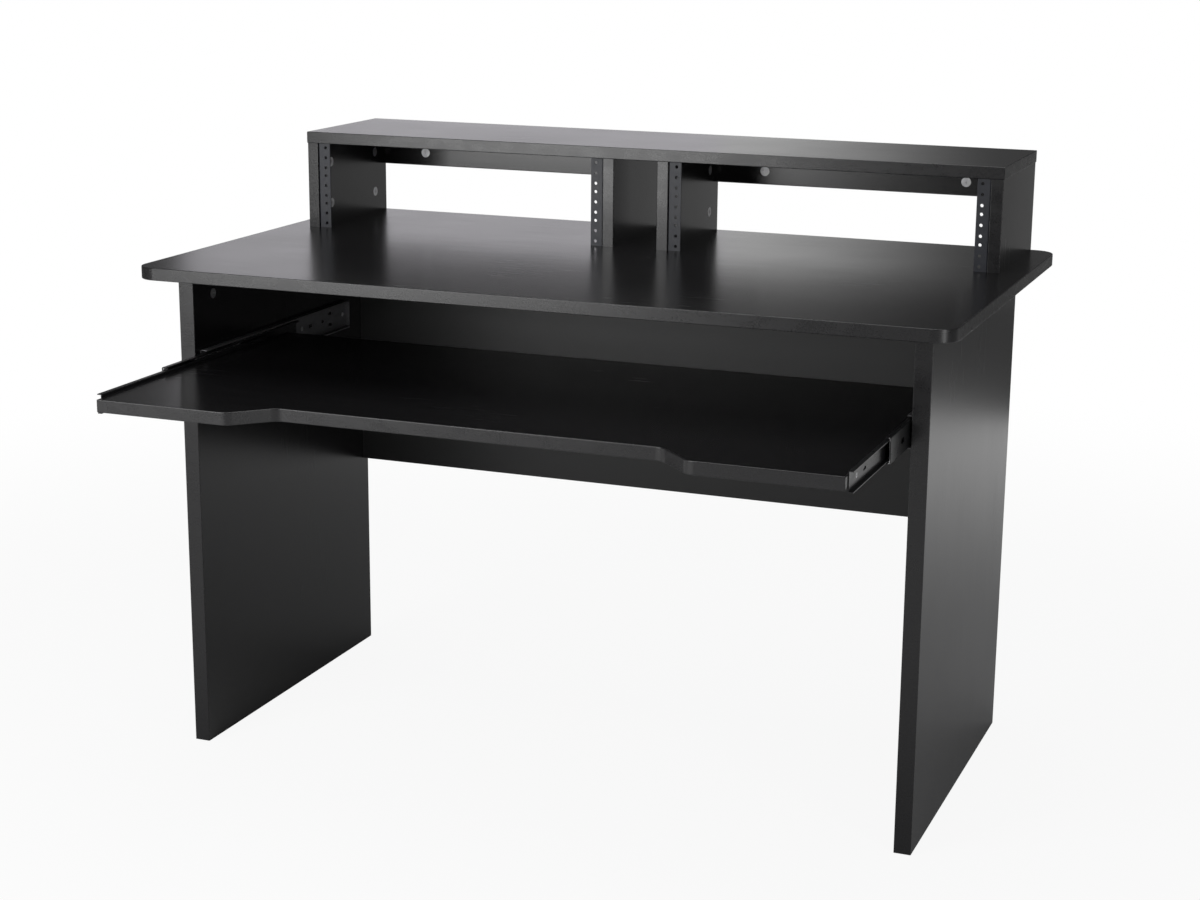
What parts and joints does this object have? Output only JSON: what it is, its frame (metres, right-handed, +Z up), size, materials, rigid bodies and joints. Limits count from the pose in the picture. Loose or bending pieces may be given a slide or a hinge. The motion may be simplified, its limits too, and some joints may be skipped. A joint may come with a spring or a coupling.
{
  "type": "studio desk",
  "caption": "Studio desk with slab sides, a hutch with two rack bays on steel strips, and a recessed keyboard tray on ball-bearing slides.",
  "frame": {"origin": "on the floor, in the middle of the desk's width and of its whole depth with the tray drawn out as pictured", "axes": "+X to the right of a person facing the desk's front, +Y from the front to the back, +Z up"},
  "size_m": [1.2, 0.914, 0.8905],
  "materials": {
    "black_laminate": "satin black melamine with fine grain",
    "edge_band": "matt charcoal edge band",
    "black_steel": "semi-gloss black coating",
    "rack_steel": "satin dark grey powder coating",
    "bright_steel": "bright",
    "zinc": "dull zinc",
    "beech": "bare"
  },
  "bodies": {
    "desk": {"desktop_board": "black_laminate", "desktop_edge_band": "edge_band", "left_side_panel": "black_laminate", "right_side_panel": "black_laminate", "side_panel_edge_bands": "edge_band", "back_panel": "black_laminate", "back_panel_edge_band": "edge_band", "hutch_shelf_board": "black_laminate", "hutch_shelf_edge_band": "edge_band", "hutch_left_panel": "black_laminate", "hutch_left_divider": "black_laminate", "hutch_right_divider": "black_laminate", "hutch_right_panel": "black_laminate", "hutch_panel_edge_bands": "edge_band", "left_rear_rail": "black_laminate", "right_rear_rail": "black_laminate", "rear_rail_edge_bands": "edge_band", "rack_strip_left_outer": "rack_steel", "rack_strip_left_inner": "rack_steel", "rack_strip_right_inner": "rack_steel", "rack_strip_right_outer": "rack_steel", "rack_strip_screws": "zinc", "cam_locks": "zinc", "cam_bolts": "zinc", "dowels": "beech", "left_slide_cabinet_member": "black_steel", "right_slide_cabinet_member": "black_steel", "cabinet_member_screws": "zinc"},
    "tray": {"tray_board": "black_laminate", "tray_edge_band": "edge_band", "left_slide_drawer_member": "black_steel", "right_slide_drawer_member": "black_steel", "drawer_member_screws": "zinc"},
    "left_middle": {"left_slide_middle_member": "black_steel", "left_slide_front_clip": "bright_steel"},
    "left_outer_cage": {"left_slide_outer_cage": "bright_steel", "left_slide_outer_balls": "bright_steel"},
    "left_inner_cage": {"left_slide_inner_cage": "bright_steel", "left_slide_inner_balls": "bright_steel"},
    "right_middle": {"right_slide_middle_member": "black_steel", "right_slide_front_clip": "bright_steel"},
    "right_outer_cage": {"right_slide_outer_cage": "bright_steel", "right_slide_outer_balls": "bright_steel"},
    "right_inner_cage": {"right_slide_inner_cage": "bright_steel", "right_slide_inner_balls": "bright_steel"}
  },
  "joints": [
    {"name": "tray_slide", "type": "slide", "parent": "desk", "child": "tray", "axis": [0, -1, 0], "range_m": [-0.274, 0.176]},
    {"name": "left_middle_slide", "type": "slide", "parent": "desk", "child": "left_middle", "axis": [0, -1, 0], "range_m": [-0.137, 0.088]},
    {"name": "left_outer_cage_slide", "type": "slide", "parent": "desk", "child": "left_outer_cage", "axis": [0, -1, 0], "range_m": [-0.0685, 0.044]},
    {"name": "left_inner_cage_slide", "type": "slide", "parent": "left_middle", "child": "left_inner_cage", "axis": [0, -1, 0], "range_m": [-0.0685, 0.044]},
    {"name": "right_middle_slide", "type": "slide", "parent": "desk", "child": "right_middle", "axis": [0, -1, 0], "range_m": [-0.137, 0.088]},
    {"name": "right_outer_cage_slide", "type": "slide", "parent": "desk", "child": "right_outer_cage", "axis": [0, -1, 0], "range_m": [-0.0685, 0.044]},
    {"name": "right_inner_cage_slide", "type": "slide", "parent": "right_middle", "child": "right_inner_cage", "axis": [0, -1, 0], "range_m": [-0.0685, 0.044]}
  ],
  "couplings": [
    {"joint": "left_middle_slide", "follows": "tray_slide", "ratio": 0.5},
    {"joint": "left_outer_cage_slide", "follows": "tray_slide", "ratio": 0.25},
    {"joint": "left_inner_cage_slide", "follows": "tray_slide", "ratio": 0.25},
    {"joint": "right_middle_slide", "follows": "tray_slide", "ratio": 0.5},
    {"joint": "right_outer_cage_slide", "follows": "tray_slide", "ratio": 0.25},
    {"joint": "right_inner_cage_slide", "follows": "tray_slide", "ratio": 0.25}
  ]
}
